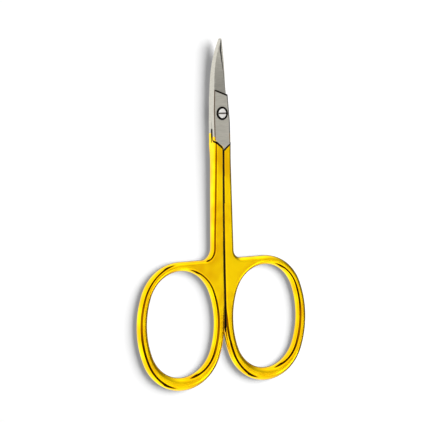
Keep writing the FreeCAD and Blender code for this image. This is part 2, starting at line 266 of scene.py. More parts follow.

# %% [markdown]
# ## Buffed edges
# Sharp corners of the flat were broken on a felt wheel. Such an edge is glossier than the flat beside it
# and mirrors the room, and its darker grey is painted shade. A bevel in the same ground steel would fade into
# it.

# %% Buffed edges
buffed_edge_and_shade, tree, place = new_material("felt_polished_edge_and_shade")
# Felt leaves clouds of finer and coarser gloss, about half a millimetre across.
marks = noise(tree, place, size=0.6, detail=3.0)
gloss = ramp(tree, marks, low=0.10, high=0.22)
# Painted shade: a darker grey than the ground flat.
shade(buffed_edge_and_shade, {"Metallic": 1.0, "Base Color": linear("#8E8C86"), "Roughness": gloss})

# %% [markdown]
# ## Painted shade
# The black lines in the joint, on the shoulders and round the screw are painted shade. Shadow alone
# would leave these gaps grey, because the light reaches into them. So the faces there get a dull, near
# black colour that hardly shines.

# %% Painted shade
shade_paint, tree, place = new_material("painted_shade_black")
# The painted shade is grainy: brownish and blacker grains, a fifth of a millimetre across.
grains = noise(tree, place, size=0.2, detail=2.0)
tint = mixed(tree, grains, "#0B0908", "#241D18")
shade(shade_paint, {"Base Color": tint, "Roughness": 0.8, "Specular IOR Level": 0.1})

# %% [markdown]
# ## Screw
# The screw is turned steel with a slot, and the CAD model's own solid shows well enough, so only its
# finish is made here. It could be cut into faces with materials of their own, but its height and its
# distance from the axis tell the bright top from the slot in a painted grey shade and the rim in a painted
# black shade.

# %% Screw
bright, tree, place = new_material("polished_screw_steel")
# Turning marks on the head vary its gloss every 0.4 mm or so.
marks = noise(tree, place, size=0.4, detail=3.0)
gloss = ramp(tree, marks, low=0.34, high=0.48)
# Painted shade: what lies deeper than the top of the head, the slot and the sides, is a darker grey.
height = add(tree, "ShaderNodeSeparateXYZ", {0: place})
top = ramp(tree, height.outputs["Z"], start=(land - 0.20) / metre, end=(land - 0.12) / metre)
body_tint = mixed(tree, top, "#6A6660", "#F2F1ED")
# Painted shade: beyond a circle set a little off the axis the rim is near black, a sickle wider on one side.
sickle = 0.15
centred = {"operation": "MULTIPLY_ADD", 0: place, 1: (1, 1, 0), 2: (-sickle / metre, -pivot[1] / metre, 0)}
from_axis = add(tree, "ShaderNodeVectorMath", centred).outputs["Vector"]
reach = add(tree, "ShaderNodeVectorMath", {"operation": "LENGTH", 0: from_axis}).outputs["Value"]
rim = ramp(tree, reach, start=1.21 / metre, end=1.27 / metre)
shaded_rim = {"data_type": "RGBA", "Factor": rim, "A": body_tint, "B": linear("#120F0D")}
tint = add(tree, "ShaderNodeMix", shaded_rim).outputs["Result"]
shade(bright, {"Metallic": 1.0, "Base Color": tint, "Roughness": gloss})
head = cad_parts["pivot_screw"]
head.data.materials.clear()
head.data.materials.append(bright)
print("screw", head.name, "has", len(head.data.polygons), "faces")

# %% [markdown]
# ## Handles
# A handle is a flat bar with rounded edges, bent into a finger loop at its end. It could be a tube along
# a curve, but the loop and the shank meet in a flat web. So it is made as a maker would file it: an
# outline and an opening, each with a rounded edge carried round it, and level faces between the two.
# The left handle is the mirror image of a right one.

# %% Sizes of the handles
# Gap is half the gap between the handles, and bend the radius by which the front rises to the joint.
# Painted shade in the gap's mouth has its own width from the gap, and ends on the wall at the lip, inside a
# set depth.
grip = dict(gap=0.12, shank_top=2.46, shank_end=3.31, front_hollow=2.2, back_hollow=3.0,
            loop_thickness=2.6, bend=60.0, start=-9.0, shade_width=0.22, lip=0.9, shade_depth=1.25)
loop = dict(centre=(12.935, -54.15), half=(12.815, 16.54), share=0.932)
opening = dict(centre=(12.96, -53.65), half=(10.25, 13.7), share=0.927)
limb = dict(bottom=3.3, middle=2.6, top=2.35, round_share=0.465, drop=1.2, back=1.1)
# Finishes of a handle's faces, in the order of its materials: gold, then painted shade.
GOLD, PAINTED_SHADE = range(2)
print("finger opening", [2 * half for half in opening["half"]], "mm")


# %% Lines and arcs of an outline
def unit(vector):
    """The direction of a vector: its length is one."""
    return vector / np.linalg.norm(vector)


def run(start, end, count):
    """Points along a straight run, and the direction out of the metal, to the right of the way."""
    start, end = np.array(start), np.array(end)
    share = np.linspace(0, 1, count)[:, None]
    way = unit(end - start)
    return start + share * (end - start), np.tile([way[1], -way[0]], (count, 1))


def sweep(centre, start, end, count, hollow=False):
    """Points along the shorter arc from start to end, and the direction out of the metal."""
    centre, start, end = map(np.array, (centre, start, end))
    first = np.arctan2(*(start - centre)[::-1])
    last = np.arctan2(*(end - centre)[::-1])
    turn = (last - first + np.pi) % (2 * np.pi) - np.pi
    angle = first + np.linspace(0, 1, count) * turn
    ray = np.stack([np.cos(angle), np.sin(angle)], axis=-1)
    radius = np.linalg.norm(start - centre)
    return centre + radius * ray, -ray if hollow else ray


def oval(centre, half, share):
    """Joints and centres of an oval of four arcs: two ends, and two flatter sides.

    The radius of the ends is a share of half the width. That of the sides follows, because neighbouring
    arcs touch on the line through their centres.
    """
    half_width, half_length = half
    end = share * half_width
    side = (half_width ** 2 + half_length ** 2 - 2 * half_length * end) / (2 * (half_width - end))
    lean = unit(np.array([side - half_width, half_length - end]))
    reach = np.array([lean[0] * end, half_length - end + lean[1] * end])
    middle = np.array(centre)
    signs = dict(far_left=(-1, -1), far_right=(1, -1), near_right=(1, 1), near_left=(-1, 1))
    joints = {key: middle + reach * sign for key, sign in signs.items()}
    centres = dict(left=middle + [side - half_width, 0], right=middle - [side - half_width, 0],
                   far=middle - [0, half_length - end], near=middle + [0, half_length - end])
    return joints, centres


def hollow_corner(hollow):
    """Arc in the corner between loop and shank: end on the loop, centre, end on the shank."""
    top = loop["centre"][1] + loop["half"][1]
    corner = np.array([grip["shank_end"], top])
    way = unit(np.array([grip["shank_top"], notch["side"]]) - corner)
    half_turn = np.arccos(way[0]) / 2
    middle = unit(way + [1, 0])
    setback = hollow / np.tan(half_turn)
    return corner + [setback, 0], corner + middle * hollow / np.sin(half_turn), corner + way * setback


bend_start = hollow_corner(grip["front_hollow"])[2][1]
print("the front bends up from the loop at", bend_start.round(2), "mm")

# %% [markdown]
# ## Outline of a handle
# The outline runs down the gap, round the loop and up the shank's outer side. A freehand curve would
# wobble, so it is straight runs and arcs only, and each point knows the way out of the metal.

# %% Outline of a handle
# Sections of the shank stand close together next to the notch, where the face slopes down to the flat.
near_notch = np.array([0, .03, .06, .1, .14, .18, .22, .26, .3, .34, .4, .5, .65, .85])
even_from, even_count = 1.1, 44


def shank_sides(on_shank):
    """Both sides of the shank, from the notch down and from the loop up, and the lean of each section.

    Lean is a section's slope across the shank, from the notch's slant evenly down to none at the loop.
    """
    length = v_start - on_shank[1]
    down = np.concatenate([near_notch, np.linspace(even_from, length, even_count)])
    lean = v_slope * (1 - down / length)
    inner_y = v_start - down + lean * grip["gap"]
    inner = np.stack([np.full(len(down), grip["gap"]), inner_y], axis=-1)
    fall = (grip["shank_top"] - on_shank[0]) / (notch["side"] - on_shank[1])
    outer_y = (v_start - down + lean * (on_shank[0] - fall * on_shank[1])) / (1 - lean * fall)
    outer = np.stack([on_shank[0] + fall * (outer_y - on_shank[1]), outer_y], axis=-1)
    return inner, outer[::-1], lean


def grip_outline(hollow):
    """Points of the outline, directions out of the metal, leans, and the number of shank sections."""
    joints, centres = oval(**loop)
    on_loop, hollow_centre, on_shank = hollow_corner(hollow)
    inner, outer, lean = shank_sides(on_shank)
    gap_end = (grip["gap"], loop["centre"][1])
    top_end = (loop["centre"][0], loop["centre"][1] + loop["half"][1])
    parts = [
        run((grip["gap"], on_shank[1]), gap_end, count=34),
        sweep(centres["left"], gap_end, joints["far_left"], count=26),
        sweep(centres["far"], joints["far_left"], joints["far_right"], count=110),
        sweep(centres["right"], joints["far_right"], joints["near_right"], count=64),
        sweep(centres["near"], joints["near_right"], top_end, count=60),
        run(top_end, on_loop, count=18),
        sweep(hollow_centre, on_loop, on_shank, count=24, hollow=True),
    ]
    loop_points, loop_normals = [np.concatenate([rows[:-1] for rows in kind])[1:] for kind in zip(*parts)]
    count = len(lean)
    inner_normals = np.tile([-1.0, 0.0], (count, 1))
    outer_normals = run(outer[0], outer[-1], count)[1]
    path = np.concatenate([inner, loop_points, outer])
    normals = np.concatenate([inner_normals, loop_normals, outer_normals])
    leans = np.concatenate([lean, np.zeros(len(loop_points)), lean[::-1]])
    return path, normals, leans, count


def opening_rim(count=72):
    """Points of the finger opening, count to an arc, and the directions out from its middle."""
    joints, centres = oval(**opening)
    order = [("far", "far_left", "far_right"), ("right", "far_right", "near_right"),
             ("near", "near_right", "near_left"), ("left", "near_left", "far_left")]
    arcs = [sweep(centres[key], joints[start], joints[end], count) for key, start, end in order]
    return [np.concatenate([rows[:-1] for rows in kind]) for kind in zip(*arcs)]


print("outline of", len(grip_outline(grip["front_hollow"])[0]), "points")

# %% [markdown]
# ## Edges of a handle
# The edges were filed round by hand: small next to the joint, wider towards the web, and a full round on
# the loop. A bevel modifier would need a weight on every edge. So the round is a quarter of an ellipse
# carried along the outline, and its sizes change on the way.

# %% Level and rounds of the front
def front_level(y):
    """Front of a handle at y: level on the loop, then a large round into the slope up to the joint.

    The slope is the tangent from the joint's end to the circle of the bend, which stands on the loop's
    level where the bend starts.
    """
    length = grip["start"] - bend_start
    height = thickness - grip["loop_thickness"]
    away = np.hypot(length, grip["bend"] - height)
    slope = np.arctan2(length, grip["bend"] - height) - np.arccos(grip["bend"] / away)
    along = np.clip(y - bend_start, 0, None)
    end = grip["bend"] * np.sin(slope)
    curve = grip["bend"] - np.sqrt(grip["bend"] ** 2 - np.minimum(along, end) ** 2)
    return grip["loop_thickness"] + curve + np.clip(along - end, 0, None) * np.tan(slope)


def half_limb(y):
    """Reach of a loop's front round at y: nearly half the limb, slim at the top and broad at the bottom."""
    up = (y - loop["centre"][1]) / loop["half"][1]
    return limb["round_share"] * np.interp(up, [-1, 0, 1], [limb["bottom"], limb["middle"], limb["top"]])


def edge_sizes(path, count, crown):
    """Width and drop of the front round and radius of the back round, at each point of the outline.

    They run evenly from stop to stop along the outline. Crown is the width on the gap's side, at the
    joint and at the web.
    """
    length = np.concatenate([[0], np.cumsum(np.linalg.norm(np.diff(path, axis=0), axis=1))])
    web, corner, end = length[count - 1], length[-count], length[-1]
    full = (limb["drop"], limb["back"])
    # Each stop is a place along the outline, with the width, the drop and the back's radius there.
    at_joint = [(0, crown[0], 0.12, 0.3), (4, crown[0], 0.12, 0.4)]
    at_web = [(web, crown[1], 0.18, 0.5), (web + 15, 1.4, 0.25, 0.9)]
    round_loop = [(web + 24, 1.2, *full), (corner - 3, 1.14, *full)]
    up_shank = [(corner + 1, 0.95, 0.95, 1.1), (end - 4, 0.95, 0.9, 1.1), (end, 0.7, 0.6, 0.5)]
    stops, *sizes = np.array(at_joint + at_web + round_loop + up_shank).T
    width, drop, back = [np.interp(length, stops, size) for size in sizes]
    on_loop = (length > round_loop[0][0]) & (length < round_loop[1][0])
    return np.where(on_loop, half_limb(path[:, 1]), width), drop, back


def edge_band(points, normals, width, drop, back, lean, steps=13):
    """A rounded edge carried along an outline: a quarter of an ellipse in front, a quarter round at the back.

    At an angle a from the wall the ellipse lies inside the outline by its width times one less the
    cosine of a, and below the face by its drop times one less the sine. One more row on the wall, a lip's
    depth below, is where the painted shade can end. Lean slides a point along Y by its place across, so that
    the last section of the shank lies on the slanting notch.
    """
    quarter = np.linspace(0, np.pi / 2, steps)
    width, drop, back = [np.broadcast_to(size, len(points))[:, None] for size in (width, drop, back)]
    inset = np.hstack([width * (1 - np.cos(quarter[::-1])), 0 * width, back * (1 - np.cos(quarter))])
    place = points[:, None, :] - normals[:, None, :] * inset[..., None]
    place[..., 1] += lean[:, None] * (place[..., 0] - points[:, :1])
    front_z = front_level(place[:, :steps, 1]) - drop * (1 - np.sin(quarter[::-1]))
    lip = front_z[:, -1:] - np.minimum(grip["lip"], (front_z[:, -1:] - back) / 2)
    level = np.hstack([front_z, lip, back * (1 - np.sin(quarter))])
    return np.concatenate([place, level[..., None]], axis=-1)


print("front of the shank at the joint", front_level(grip["start"]).round(2), "mm")

# %% [markdown]
# ## Faces of a handle
# The flat faces lie between the rounds: straight rows across the shank, and one face between the loop's
# round and the opening's, which fits no grid and is cut into triangles. Then the end next to the joint
# is sloped down to the ground flat, and the faces in the mouth of the gap get painted shade.

# %% Faces of a handle
def filled(outline, hole, flip=False):
    """A level face between an outline and a hole, in triangles that face up, or down if flipped."""
    points = np.vstack([outline, hole])
    faces = np.array(tessellate_polygon([outline.tolist(), hole.tolist()]))
    a, b, c = points[faces].transpose(1, 0, 2)
    down = np.cross(b - a, c - a)[:, 2] < 0
    faces[down != flip] = faces[down != flip][:, ::-1]
    return points, faces, np.full(len(faces), GOLD)


def paint_gap_shade(points, faces, finish):
    """Paints near black shade on the faces that lie in the gap's mouth, by their place across and their
    depth.
    """
    x, y, z = points[faces].transpose(2, 0, 1)
    in_gap = x.max(axis=1) < grip["gap"] + grip["shade_width"]
    finish[in_gap & (z.min(axis=1) > front_level(y.mean(axis=1)) - grip["shade_depth"])] = PAINTED_SHADE


def slope_to_flat(points, faces, finish, bevel, slack=0.02, skin=0.1):
    """Cuts one face down to the ground flat: from the notch it rises by the step over the run.

    In front the cut gets painted shade: faces within the run, with some slack, that lie in the skin.
    """
    to_notch = v_start + v_slope * points[:, 0] - points[:, 1]
    slant = np.clip(to_notch, 0, None) * notch["step"] / notch["run"]
    if bevel == "front":
        in_run = to_notch[faces].max(axis=1) < notch["run"] + slack
        finish[in_run & (points[faces][..., 2].max(axis=1) > land - skin)] = PAINTED_SHADE
        points[:, 2] = np.minimum(points[:, 2], land + slant)
    else:
        points[:, 2] = np.maximum(points[:, 2], thickness - land - slant)


def make_grip(bevel, crown, hollow, rows=9):
    """Surfaces of a right handle; bevel names the face that slopes down to the ground flat.

    Hollow is the radius between loop and shank, and rows the number of points across the shank.
    """
    path, normals, leans, count = grip_outline(hollow)
    band = edge_band(path, normals, *edge_sizes(path, count, crown), leans)
    rim, rays = opening_rim()
    inner = edge_band(rim, -rays, half_limb(rim[:, 1]), limb["drop"], limb["back"], np.zeros(len(rim)))
    strips, rings = [], []
    for edge in (0, -1):
        strips.append(between(band[:count, edge], band[::-1][:count, edge], rows))
        rings.append(np.concatenate([band[count - 1:len(path) - count + 1, edge], strips[-1][-1, -2:0:-1]]))
    front, back = strips
    front[..., 2] = front_level(front[..., 1])
    end = np.concatenate([front[0, :-1], band[-1, :-1], back[0, :0:-1], band[0, :0:-1]])
    # The end face next to the joint gets painted shade.
    surfaces = [
        sheet(band, flip=True), sheet(inner, closed=True), sheet(front), sheet(back, flip=True),
        filled(rings[0], inner[:, 0]), filled(rings[1], inner[:, -1], flip=True), cap(end, finish=PAINTED_SHADE),
    ]
    for surface in surfaces:
        paint_gap_shade(*surface)
        slope_to_flat(*surface, bevel)
    return surfaces


def shoulder_root(steps=13, count=5):
    """Round under the plate, where the lap turns into the shoulder: a quarter circle along the notch."""
    quarter = np.linspace(0, np.pi / 2, steps)
    out = joint["root"] * (1 - np.cos(quarter)) * np.hypot(1, v_slope)
    level = upper_lap - joint["root"] * (1 - np.sin(quarter))
    across = np.linspace(grip["gap"], joint["half_width"], count)
    x, away = np.meshgrid(across, out)
    level = np.repeat(level[:, None], count, axis=1)
    curve = np.stack([x, v_start + v_slope * x + away, level], axis=-1)
    corner = np.stack([across, v_start + v_slope * across, np.full(count, upper_lap)], axis=-1)
    ends = [np.vstack([curve[:, 0], corner[:1]]), np.vstack([curve[:, -1], corner[-1:]])]
    # The round under the shoulder gets painted shade, and the rest stays gold.
    return [sheet(curve, flip=True, finish=PAINTED_SHADE), sheet(np.stack([curve[-1], corner, curve[0]]), flip=True),
            cap(ends[0]), cap(ends[1], flip=True)]


# %% Both handles
root = shoulder_root()
front_surfaces = make_grip("front", crown=(0.6, 1.6), hollow=grip["front_hollow"]) + root
make_piece("front_grip", front_surfaces, [gold, shade_paint], "front_half", "front_half")
left_grip = make_grip("back", crown=(0.5, 0.6), hollow=grip["back_hollow"])
back_surfaces = [mirrored(surface) for surface in left_grip] + [turned(surface) for surface in root]
make_piece("back_grip", back_surfaces, [gold, shade_paint], "back_half", "back_half")

# %% [markdown]
# ## Joint plates
# At the joint each half is a plate with a broken edge round its flat. A box with cuts would do for the
# shape, but the broken edge differs from side to side. So the plate is its outline carried up from the
# lap to the flat: a round under the shoulder that clears the other half's root, straight walls, then the
# bevel. The shoulder and the sides next to it keep their plating.

# %% Sizes of plates and blades
blade = dict(reach=18.9, lead=0.3, rise=1.45, flat=6.5, spine_root=6.25, edge_root=4.8, drop=0.1,
             tip_thickness=0.6, slope=np.tan(np.radians(9.0)), taper_start=1.0, spine_straight=8.0,
             spine_inset=0.38, spine_bow=0.34, tip_spine=0.34, tip_edge=0.14, heel=1.72, heel_y=4.6,
             edge_bow=0.2, bevel_fall=0.5, under_slope=np.tan(np.radians(2.0)))
# Bevels are how far the broken edge reaches in: at the plunge to the blade, and on the cutting side.
# Painted shade lies in the lap from the shoulder up to a place and a height.
plate = dict(taper_start=-2.5, front_taper=0.5, back_taper=0.3, plunge_bevel=0.5, cutting_bevel=0.38,
             shade_end=-3.9, shade_height=0.4)
screw = dict(seat=1.75, seat_depth=0.85, bore=0.98, thread=0.82)
# Edges of the plate's outline in their order, and finishes of its faces in the order of the materials.
SHOULDER, SPINE_SIDE, SPINE_TAPER, PLUNGE, EDGE_TAPER, EDGE_SIDE, NOTCH, STEP = range(8)
STEEL, PLATED, PAINTED_BLACK, BUFFED_AND_SHADED = range(4)
# Walls are plated up to this place along the half, and the others are bare.
plating_end = {SHOULDER: np.inf, SPINE_SIDE: -5.95, EDGE_SIDE: -5.1, STEP: np.inf}
print("blades reach", blade["reach"], "mm past the pivot")


# %% Outline of a plate
def spine_side(y):
    """Place across of the straight part of a blade's spine, and of the plate's side below it."""
    share = (y - blade["taper_start"]) / (blade["spine_straight"] - blade["taper_start"])
    return -joint["half_width"] + blade["spine_inset"] * share


def plate_corners(insets, taper):
    """Corners of the plate's outline, each edge moved in by its inset: where neighbouring edges cross."""
    half = joint["half_width"]
    points = np.array([
        [grip["gap"], notch["middle"] + notch["clear"]], [-half, notch["side"] + notch["clear"]],
        [-half, blade["taper_start"]], [spine_side(blade["spine_root"]), blade["spine_root"]],
        [half - taper, blade["edge_root"]], [half, plate["taper_start"]],
        [half, v_start + v_slope * half], [grip["gap"], v_start + v_slope * grip["gap"]],
    ])
    way = np.roll(points, -1, axis=0) - points
    out = np.stack([-way[:, 1], way[:, 0]], axis=-1) / np.linalg.norm(way, axis=1, keepdims=True)
    reach = (out * points).sum(axis=1) - insets
    pairs = np.stack([np.roll(out, 1, axis=0), out], axis=1)
    return np.linalg.solve(pairs, np.stack([np.roll(reach, 1), reach], axis=-1)[..., None])[..., 0]


def plate_level(insets, level, taper, count=25):
    """One level of the plate, edges by points by 3; insets names the edges moved in, and how far."""
    moved = np.array([insets.get(edge, 0.0) for edge in range(STEP + 1)])
    corners = plate_corners(moved, taper)
    line = between(corners, np.roll(corners, -1, axis=0), count)
    return np.concatenate([line, np.full((*line.shape[:2], 1), level)], axis=-1)


# %% Surfaces of a plate
def plate_finish(edge, middle):
    """Finish of the faces over one edge, from their middles: bare, plated, painted black for shade, or
    buffed.
    """
    plated = middle[:, 1] < plating_end.get(edge, -np.inf)
    # Painted shade: near black in the lap next to the shoulder, and on the shoulder's wall below the bevel.
    dark = (middle[:, 1] < plate["shade_end"]) & (middle[:, 2] < upper_lap + plate["shade_height"])
    dark |= (edge == SHOULDER) & (middle[:, 2] < land - joint["bevel"])
    finish = np.where(dark, PAINTED_BLACK, np.where(plated, PLATED, STEEL))
    if middle[:, 2].min() > land - joint["bevel"]:
        # The plunge's bevel is painted black for shade.
        broken = PAINTED_BLACK if edge == PLUNGE else BUFFED_AND_SHADED
        finish = np.where(finish == STEEL, broken, finish)
    return finish


def plate_hole(top, bottom, levels):
    """The flat with its hole, the hole's wall and the lap; levels are radius and level from the flat down.

    The hole is turned through the same angles as the outlines, so that its rims share their points.
    """
    first, last = [np.arctan2(ring[:, 1], ring[:, 0])[:, None] for ring in (top, bottom)]
    twist = (last - first + np.pi) % (2 * np.pi) - np.pi
    radius, level = np.array(levels).T
    angle = first + twist * np.linspace(0, 1, len(radius))
    bore = np.stack(np.broadcast_arrays(radius * np.cos(angle), radius * np.sin(angle), level), axis=-1)
    # The hole's wall is painted black for the shade round the screw.
    return [sheet(between(top, bore[:, 0], count=5), closed=True, flip=True),
            sheet(bore, closed=True, flip=True, finish=PAINTED_BLACK),
            sheet(between(bottom, bore[:, -1], count=5), closed=True)]


def make_plate(hole_levels, taper, steps=9):
    """Surfaces of the front half's plate; taper is how much narrower its cutting side is at the blade.

    The walls start with a quarter circle under the shoulder and end in the bevel up to the flat.
    """
    walls = [plate_level({SHOULDER: joint["root"] * (1 - np.sin(a))},
                         upper_lap + joint["root"] * (1 - np.cos(a)), taper)
             for a in np.linspace(0, np.pi / 2, steps)]
    walls.append(plate_level({}, land - joint["bevel"], taper))
    bevels = {
        SHOULDER: joint["bevel"], SPINE_SIDE: joint["bevel"], SPINE_TAPER: joint["bevel"],
        PLUNGE: plate["plunge_bevel"], EDGE_TAPER: plate["cutting_bevel"], EDGE_SIDE: plate["cutting_bevel"],
    }
    flat = plate_level(bevels, land, taper)
    walls = np.stack(walls, axis=1)
    broken = np.stack([walls[:, -1], flat], axis=1)
    surfaces = []
    for edge in range(STEP + 1):
        for rows in (walls[edge], broken[edge]):
            # The step is short, and needs its two ends only.
            points, faces, finish = sheet(rows[:, [0, -1]] if edge == STEP else rows)
            surfaces.append((points, faces, plate_finish(edge, points[faces].mean(axis=1))))
    rings = [np.vstack([rim[:STEP, :-1].reshape(-1, 3), rim[STEP, :1]]) for rim in (flat, walls[:, 0])]
    return surfaces + plate_hole(*rings, hole_levels)


seat = land - screw["seat_depth"]
front_hole = [(screw["seat"], land), (screw["seat"], seat), (screw["bore"], seat), (screw["bore"], upper_lap)]
back_hole = [(screw["thread"], land), (screw["thread"], upper_lap)]
front_plate = make_plate(front_hole, plate["front_taper"])
back_plate = [turned(surface) for surface in make_plate(back_hole, plate["back_taper"])]
print("joint plates", len(front_plate), "and", len(back_plate), "sheets")

# %% [markdown]
# ## Blades
# Cuticle blades curve up out of the plane and still shear, because their meeting faces are one hollow
# turned about the pivot. A bent box wouldn't keep that face, so a blade is a run of five-sided sections
# between the line of its spine and the line of its edge, from the plate to the tip.

# %% Lines of a blade
# The bevel of the upper edge is a hair at the heel and widens to the tip. The lower blade was ground
# together with the upper one's spine, so its edge follows that line and its side stands upright.
bevel_shares, bevel_widths = [0, 0.4, 0.8, 1], [0.06, 0.2, 1.0, 0.42]
lower_edge = dict(inset=0.12, bevel=0.06)
# Places of the sections along a blade, as shares of its length. The first is in the plate.
sections = np.concatenate([[-0.02], np.linspace(0, 1, 57)])


def bowed(y, start, end, height):
    """Place across of an arc from start to end at y; height is its bow, plus to the left of the way."""
    start, end = np.array(start), np.array(end)
    chord = end - start
    length = np.linalg.norm(chord)
    left = np.array([-chord[1], chord[0]]) / length
    radius = (length ** 2 / 4 + height ** 2) / (2 * abs(height))
    centre = (start + end) / 2 - left * np.sign(height) * (radius - abs(height))
    return centre[0] + np.sign(left[0] * height) * np.sqrt(radius ** 2 - (y - centre[1]) ** 2)


def spine_x(y, reach):
    """Place across of the spine at y: straight out of the joint, then an arc to the tip."""
    straight = blade["spine_straight"]
    start = (-joint["half_width"] + blade["spine_inset"], straight)
    far = bowed(np.maximum(y, straight), start, (-blade["tip_spine"], reach), blade["spine_bow"])
    return np.where(y < straight, spine_side(y), far)


def blade_lines(side, reach):
    """Spine, edge and back of the edge's bevel as lines seen from above, and the bevel's width."""
    spine_y = blade["spine_root"] + sections * (reach - blade["spine_root"])
    edge_y = blade["edge_root"] + sections * (reach - blade["edge_root"])
    if side > 0:
        heel = (blade["heel"], blade["heel_y"])
        edge_x = bowed(edge_y, (blade["tip_edge"], reach), heel, blade["edge_bow"])
        width = np.interp(sections, bevel_shares, bevel_widths)
    else:
        edge_x = -spine_x(edge_y, reach) - lower_edge["inset"]
        width = np.full(len(sections), lower_edge["bevel"])
    spine = np.stack([spine_x(spine_y, reach), spine_y], axis=-1)
    edge = np.stack([edge_x, edge_y], axis=-1)
    inward = spine - edge
    inward /= abs(inward[:, :1])
    return spine, edge, edge + inward * width[:, None], width


# %% Faces of a blade
def lap_rise(reach):
    """Height of the hollow lap over its flat middle, at a distance from the pivot: part of a circle."""
    run_out = blade["reach"] - blade["flat"]
    radius = (run_out ** 2 + blade["rise"] ** 2) / (2 * blade["rise"])
    return radius - np.sqrt(radius ** 2 - np.clip(reach - blade["flat"], 0, None) ** 2)


def lapped(line, side):
    """Points of the lap face over a line seen from above; side 1 is the upper lap, -1 the lower."""
    level = lap_level + side * joint["gap"] / 2 + lap_rise(np.hypot(line[..., 0], line[..., 1]))
    return np.concatenate([line, level[..., None]], axis=-1)


def outer_face(line, side, reach):
    """Points of the outer face over a line: a parabola along the blade that falls from spine to edge.

    The parabola goes through three levels, each the blade's thickness over the lap: at root, middle, tip.
    """
    slope = blade["slope"] if side > 0 else blade["under_slope"]
    root_y = blade["spine_root"] - joint["bevel"]
    stations = np.array([root_y, (blade["spine_straight"] + reach) / 2, reach])
    thin = joint["half_thickness"] - blade["drop"]
    thick = np.array([thin, (thin + blade["tip_thickness"]) / 2, blade["tip_thickness"]])
    lap = lap_level + side * joint["gap"] / 2
    levels = lap + lap_rise(stations) + side * (thick - slope * abs(spine_x(stations, reach)))
    curve = np.polyfit(stations, levels, 2)
    return np.column_stack([line, np.polyval(curve, line[:, 1]) - slope * line[:, 0] * side])


def make_blade(side, reach, sunk=0.95, least_wall=0.05):
    """Surfaces of a blade: side 1 over the lap with its spine at -X, side -1 under it and mirrored.

    Sunk shrinks the first section into the plate, and least_wall is what the bevel leaves of the edge.
    """
    spine, edge, back_of_bevel, width = blade_lines(side, reach)
    spine_lap, edge_lap = lapped(spine, side), lapped(edge, side)
    spine_outer, bevel_outer = outer_face(spine, side, reach), outer_face(back_of_bevel, side, reach)
    edge_wall = outer_face(edge, side, reach)
    room = side * (edge_wall[:, 2] - edge_lap[:, 2]) - least_wall
    edge_wall[:, 2] -= side * np.minimum(blade["bevel_fall"] * width, room)
    spine_wall = between(spine_lap, spine_outer, count=3)
    outer = between(spine_outer, bevel_outer, count=5)
    bevel = between(bevel_outer, edge_wall, count=2)
    wall = between(edge_wall, edge_lap, count=2)
    sides = [spine_wall, outer, bevel, wall, lapped(between(edge, spine, count=9), side)]
    middle = np.concatenate([rows[0, :-1] for rows in sides]).mean(axis=0)
    for rows in sides:
        rows[0] = middle + (rows[0] - middle) * [sunk, 1, sunk]
    root, tip = [np.concatenate([rows[at, :-1] for rows in sides]) for at in (0, -1)]
    surfaces = [sheet(rows, flip=True, finish=BUFFED_AND_SHADED if rows is bevel else STEEL) for rows in sides]
    surfaces += [cap(root, flip=True), cap(tip)]
    return [(points * [side, 1, 1], faces, finish) for points, faces, finish in surfaces]


# %% Both blades
finishes = [steel, gold, shade_paint, buffed_edge_and_shade]
crease = 18.0
upper = make_blade(1, blade["reach"])
lower = make_blade(-1, blade["reach"] + blade["lead"])
make_piece("front_blade", front_plate + upper, finishes, "front_half", "front_half", crease)
make_piece("back_blade", back_plate + lower, finishes, "back_half", "back_half", crease)

# %% [markdown]
# ## Camera
# The camera was fitted to the photograph: it stands to the left of the scissors, about 40 cm away, and
# looks down at them with a long lens. It is turned a little, in place of a shift of the lens, because
# the scissors don't lie in the middle of the picture.

# %% Placing an object
def turn(axis, degrees):
    """Rotation about an axis as a 3 by 3 array."""
    return np.array(Matrix.Rotation(np.radians(degrees), 3, axis))


def stand(item, place, right, back):
    """Puts an object into the scene at a place in metres, its own X to the right and Z to the back."""
    pose = np.eye(4)
    pose[:3, :3] = np.stack([right, np.cross(back, right), back], axis=-1)
    pose[:3, 3] = place
    item.matrix_world = Matrix(pose.tolist())
    bpy.context.scene.collection.objects.link(item)
    print(item.name, "at", np.round(place, 3))


# %% Camera
fitted = dict(roll=1.475, nod=3.486, aside=32.562, distance=416.3)
looked_at = np.array([0.0, -0.10, 1.72])
# The picture's middle from the fitted camera: right, up and the focal length, in pixels.
picture_middle = np.array([10.66, -2.42, 1608.0])

view = turn("Z", fitted["roll"]) @ turn("X", fitted["nod"]) @ turn("Y", fitted["aside"])
back = unit(picture_middle @ view)
right = unit(view[0] - back * (view[0] @ back))
data = bpy.data.cameras.new("camera")
data.lens = 137.2
data.sensor_width = 36.0
data.clip_start = 0.01
camera = bpy.data.objects.new("camera", data)
stand(camera, (looked_at + fitted["distance"] * view[2]) / metre, right, back)
bpy.context.scene.camera = camera

# %% [markdown]
# ## Floor
# The scissors lie on white paper, which keeps their shadow. A plain white floor would also be mirrored
# in the metal and swallow its dark lines. So reflections look through it to the tent below, and only
# under the gap between the handles do they meet a painted shadow: a near black strip of the floor.

# %% Floor
half_size, below = 1.0, 0.1 / metre
corners = half_size * np.array([[-1, -1, 0], [1, -1, 0], [1, 1, 0], [-1, 1, 0]]) - [0, 0, below]
mesh = bpy.data.meshes.new("floor")
mesh.from_pydata(corners.tolist(), [], [[0, 1, 2, 3]])
floor = bpy.data.objects.new("floor", mesh)
bpy.context.scene.collection.objects.link(floor)
paper, tree, place = new_material("white_paper_floor")
mirrored_ray = add(tree, "ShaderNodeLightPath").outputs["Is Glossy Ray"]
apart = add(tree, "ShaderNodeSeparateXYZ", {0: place})
aside = maths(tree, "ABSOLUTE", apart.outputs["X"])
open_floor = maths(tree, "GREATER_THAN", aside, 0.4 / metre)
clear = maths(tree, "MULTIPLY", mirrored_ray, open_floor)
